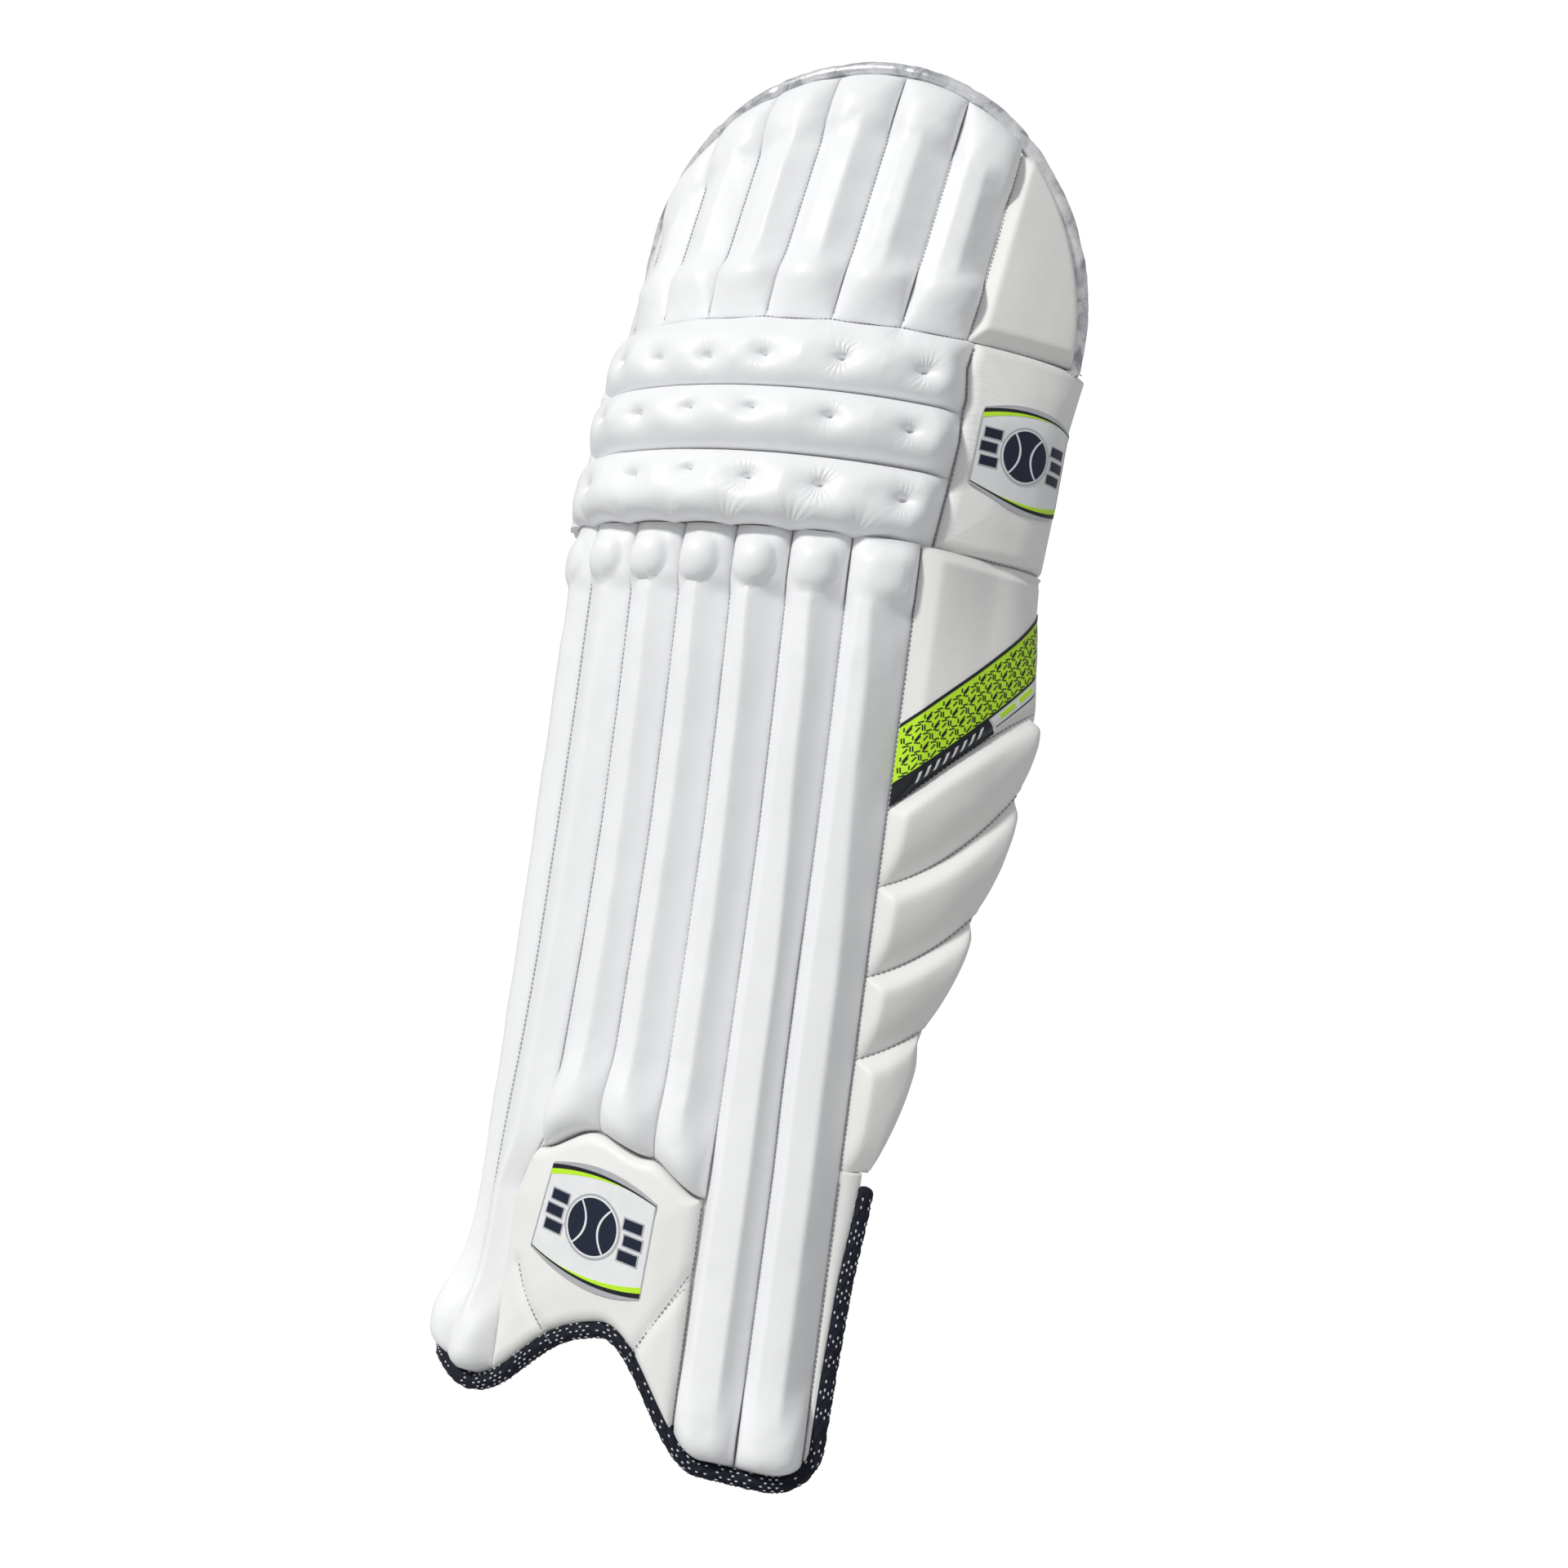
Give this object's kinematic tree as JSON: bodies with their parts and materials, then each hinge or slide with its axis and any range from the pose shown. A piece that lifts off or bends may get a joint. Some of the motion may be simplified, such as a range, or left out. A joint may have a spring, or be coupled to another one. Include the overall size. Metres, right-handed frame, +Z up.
{
  "type": "cricket leg pad",
  "caption": "Cricket leg pad with padded shin, knee rolls, hinged top hat, flexing calf wing and closing straps.",
  "frame": {"origin": "on the leg's axis, level with the pad's lowest edge", "axes": "+Z up the leg, -Y the way the front of the shin faces, +X the outer side of the leg"},
  "size_m": [0.2792, 0.1786, 0.7289],
  "materials": {
    "white_leather": "smooth white polyurethane leather",
    "side_leather": "smooth ivory polyurethane leather",
    "foam_board": "closed-cell foam board",
    "cane": "split cane",
    "lining_cloth": "knitted lining cloth",
    "strap_webbing": "woven strap",
    "hook_and_loop": "hook and loop",
    "silver_binding": "metallic silver binding",
    "edge_rope": "dark braided rope",
    "printed_patch": "printed film patch"
  },
  "bodies": {
    "shin": {"shin_backing": "foam_board", "shin_lining": "lining_cloth", "shin_bolster_1": "white_leather", "shin_bolster_2": "white_leather", "shin_bolster_3": "white_leather", "shin_bolster_4": "white_leather", "shin_bolster_5": "white_leather", "shin_bolster_6": "white_leather", "shin_bolster_7": "white_leather", "shin_cane_1": "cane", "shin_cane_2": "cane", "shin_cane_3": "cane", "shin_cane_4": "cane", "shin_cane_5": "cane", "shin_cane_6": "cane", "shin_cane_7": "cane", "inner_wing": "side_leather", "outer_gusset": "side_leather", "instep_panel": "side_leather", "instep_badge": "printed_patch", "edge_rope": "edge_rope", "inner_bolster_centre": "lining_cloth", "inner_bolster_outer": "lining_cloth", "inner_bolster_inner": "lining_cloth", "knee_backing": "foam_board", "knee_roll_lower": "white_leather", "knee_roll_middle": "white_leather", "knee_roll_upper": "white_leather", "knee_panel_outer": "side_leather", "knee_panel_inner": "side_leather", "knee_badge": "printed_patch", "knee_cup": "lining_cloth", "knee_loop_patch": "hook_and_loop", "ankle_loop_patch": "hook_and_loop"},
    "top_hat": {"top_hat_backing": "foam_board", "top_hat_bolster_1": "white_leather", "top_hat_bolster_2": "white_leather", "top_hat_bolster_3": "white_leather", "top_hat_bolster_4": "white_leather", "top_hat_bolster_5": "white_leather", "top_hat_bolster_6": "white_leather", "top_hat_wing_outer": "side_leather", "top_hat_wing_inner": "side_leather", "top_binding": "silver_binding", "top_hat_pad": "lining_cloth"},
    "outer_wing": {"outer_wing_backing": "foam_board", "wing_upper_panel": "side_leather", "wing_bolster_1": "side_leather", "wing_bolster_2": "side_leather", "wing_bolster_3": "side_leather", "wing_bolster_4": "side_leather", "wing_band": "printed_patch", "calf_loop_patch": "hook_and_loop"},
    "knee_strap": {"knee_strap": "strap_webbing"},
    "knee_tab": {"knee_tab": "hook_and_loop"},
    "calf_strap": {"calf_strap": "strap_webbing"},
    "calf_tab": {"calf_tab": "hook_and_loop"},
    "ankle_strap": {"ankle_strap": "strap_webbing"},
    "ankle_tab": {"ankle_tab": "hook_and_loop"}
  },
  "joints": [
    {"name": "top_hat_flex", "type": "hinge", "parent": "shin", "child": "top_hat", "pos_m": [0, -0.025, 0.578], "axis": [-1, 0, 0], "range_deg": [0, 15], "stiffness_Nm_per_rad": 1.5},
    {"name": "outer_wing_flex", "type": "hinge", "parent": "shin", "child": "outer_wing", "pos_m": [0.1045, -0.0504, 0.3], "axis": [0, 0, -1], "range_deg": [0, 25], "stiffness_Nm_per_rad": 0.8},
    {"name": "knee_strap_swing", "type": "hinge", "parent": "shin", "child": "knee_strap", "pos_m": [-0.1036, 0.0091, 0.519], "axis": [0, 0, 1], "range_deg": [0, 60]},
    {"name": "knee_tab_peel", "type": "hinge", "parent": "knee_strap", "child": "knee_tab", "pos_m": [0.1309, 0.0275, 0.519], "axis": [0, 0, -1], "range_deg": [0, 55]},
    {"name": "calf_strap_swing", "type": "hinge", "parent": "shin", "child": "calf_strap", "pos_m": [-0.1001, 0.0044, 0.331], "axis": [0, 0, 1], "range_deg": [0, 60]},
    {"name": "calf_tab_peel", "type": "hinge", "parent": "calf_strap", "child": "calf_tab", "pos_m": [0.1344, -0.0057, 0.331], "axis": [0, 0, -1], "range_deg": [0, 80]},
    {"name": "ankle_strap_swing", "type": "hinge", "parent": "shin", "child": "ankle_strap", "pos_m": [0.1002, -0.0412, 0.111], "axis": [0, 0, -1], "range_deg": [0, 100]},
    {"name": "ankle_tab_peel", "type": "hinge", "parent": "ankle_strap", "child": "ankle_tab", "pos_m": [-0.1016, -0.0029, 0.111], "axis": [0, 0, 1], "range_deg": [0, 55]}
  ]
}
